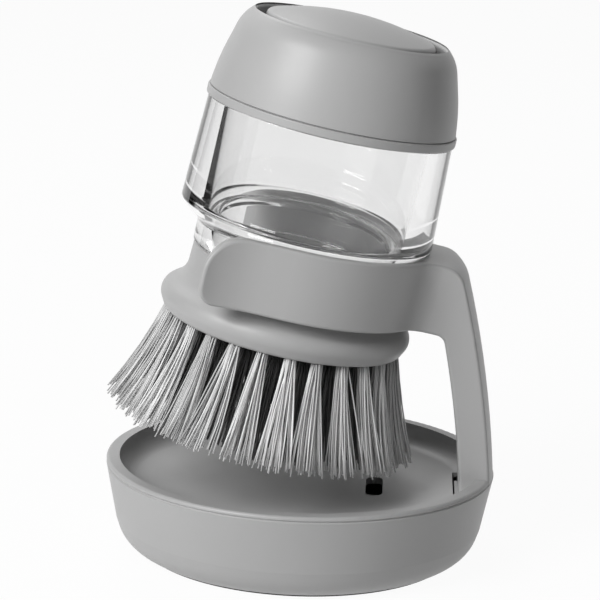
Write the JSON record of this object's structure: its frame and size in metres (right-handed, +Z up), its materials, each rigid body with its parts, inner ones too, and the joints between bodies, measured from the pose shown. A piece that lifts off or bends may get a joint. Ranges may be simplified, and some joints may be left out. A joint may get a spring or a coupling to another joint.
{
  "type": "soap dispensing dish brush with drip stand",
  "caption": "Palm-held dish brush with push-button soap pump, clear reservoir and screw-on bristle head, hanging in the fork of a leg on a round drip stand",
  "frame": {"origin": "centre of the base pad's underside, on the surface the stand rests on", "axes": "+Z up; the stand's leg is on +X and the brush leans towards it; Y is across, and the part mirrors about the XZ plane"},
  "size_m": [0.1012, 0.1, 0.1399],
  "materials": {
    "grey_plastic": "satin moulded plastic",
    "clear_plastic": "clear moulded plastic",
    "inner_plastic": "plain moulded plastic inside the cap and head",
    "light_bristle": "nylon bristle",
    "dark_bristle": "nylon bristle",
    "silicone": "soft silicone",
    "pad_rubber": "non-slip rubber",
    "spring_steel": "drawn wire"
  },
  "bodies": {
    "base": {"base_bowl": "grey_plastic", "base_pad": "pad_rubber"},
    "stand": {"drip_tray": "grey_plastic", "holder_arm": "grey_plastic"},
    "brush": {"reservoir": "clear_plastic", "cap_collar": "grey_plastic", "mouth_seal": "silicone", "pump_plate": "inner_plastic", "bellows": "silicone", "bellows_ring": "inner_plastic", "button_spring": "spring_steel", "air_valve": "silicone", "cap_shell": "grey_plastic"},
    "button": {"button": "grey_plastic"},
    "seal": {"neck_seal": "silicone"},
    "head": {"brush_head": "grey_plastic", "outlet_valve": "silicone", "valve_retainer": "inner_plastic", "outer_tufts": "light_bristle", "middle_tufts": "dark_bristle", "inner_tufts": "dark_bristle", "centre_tufts": "dark_bristle"}
  },
  "joints": [
    {"name": "tray_lift", "type": "slide", "parent": "base", "child": "stand", "axis": [0, 0, 1], "range_m": [0, 0.06]},
    {"name": "brush_slide", "type": "slide", "parent": "stand", "child": "brush", "axis": [-0.9828, 0, 0.1846], "range_m": [0, 0.09]},
    {"name": "button_press", "type": "slide", "parent": "brush", "child": "button", "axis": [-0.1846, 0, -0.9828], "range_m": [0, 0.004], "stiffness_N_per_m": 900, "springref_m": -0.003, "deforming": ["button_spring", "bellows"]},
    {"name": "head_drop", "type": "slide", "parent": "brush", "child": "seal", "axis": [-0.1846, 0, -0.9828], "range_m": [0, 0.004]},
    {"name": "head_turn", "type": "hinge", "parent": "seal", "child": "head", "pos_m": [-0.0016, 0, 0.0814], "axis": [-0.1846, 0, -0.9828], "range_deg": [0, 360]}
  ],
  "couplings": [
    {"joint": "head_turn", "follows": "head_drop", "rad_per_m": 1570.8}
  ]
}
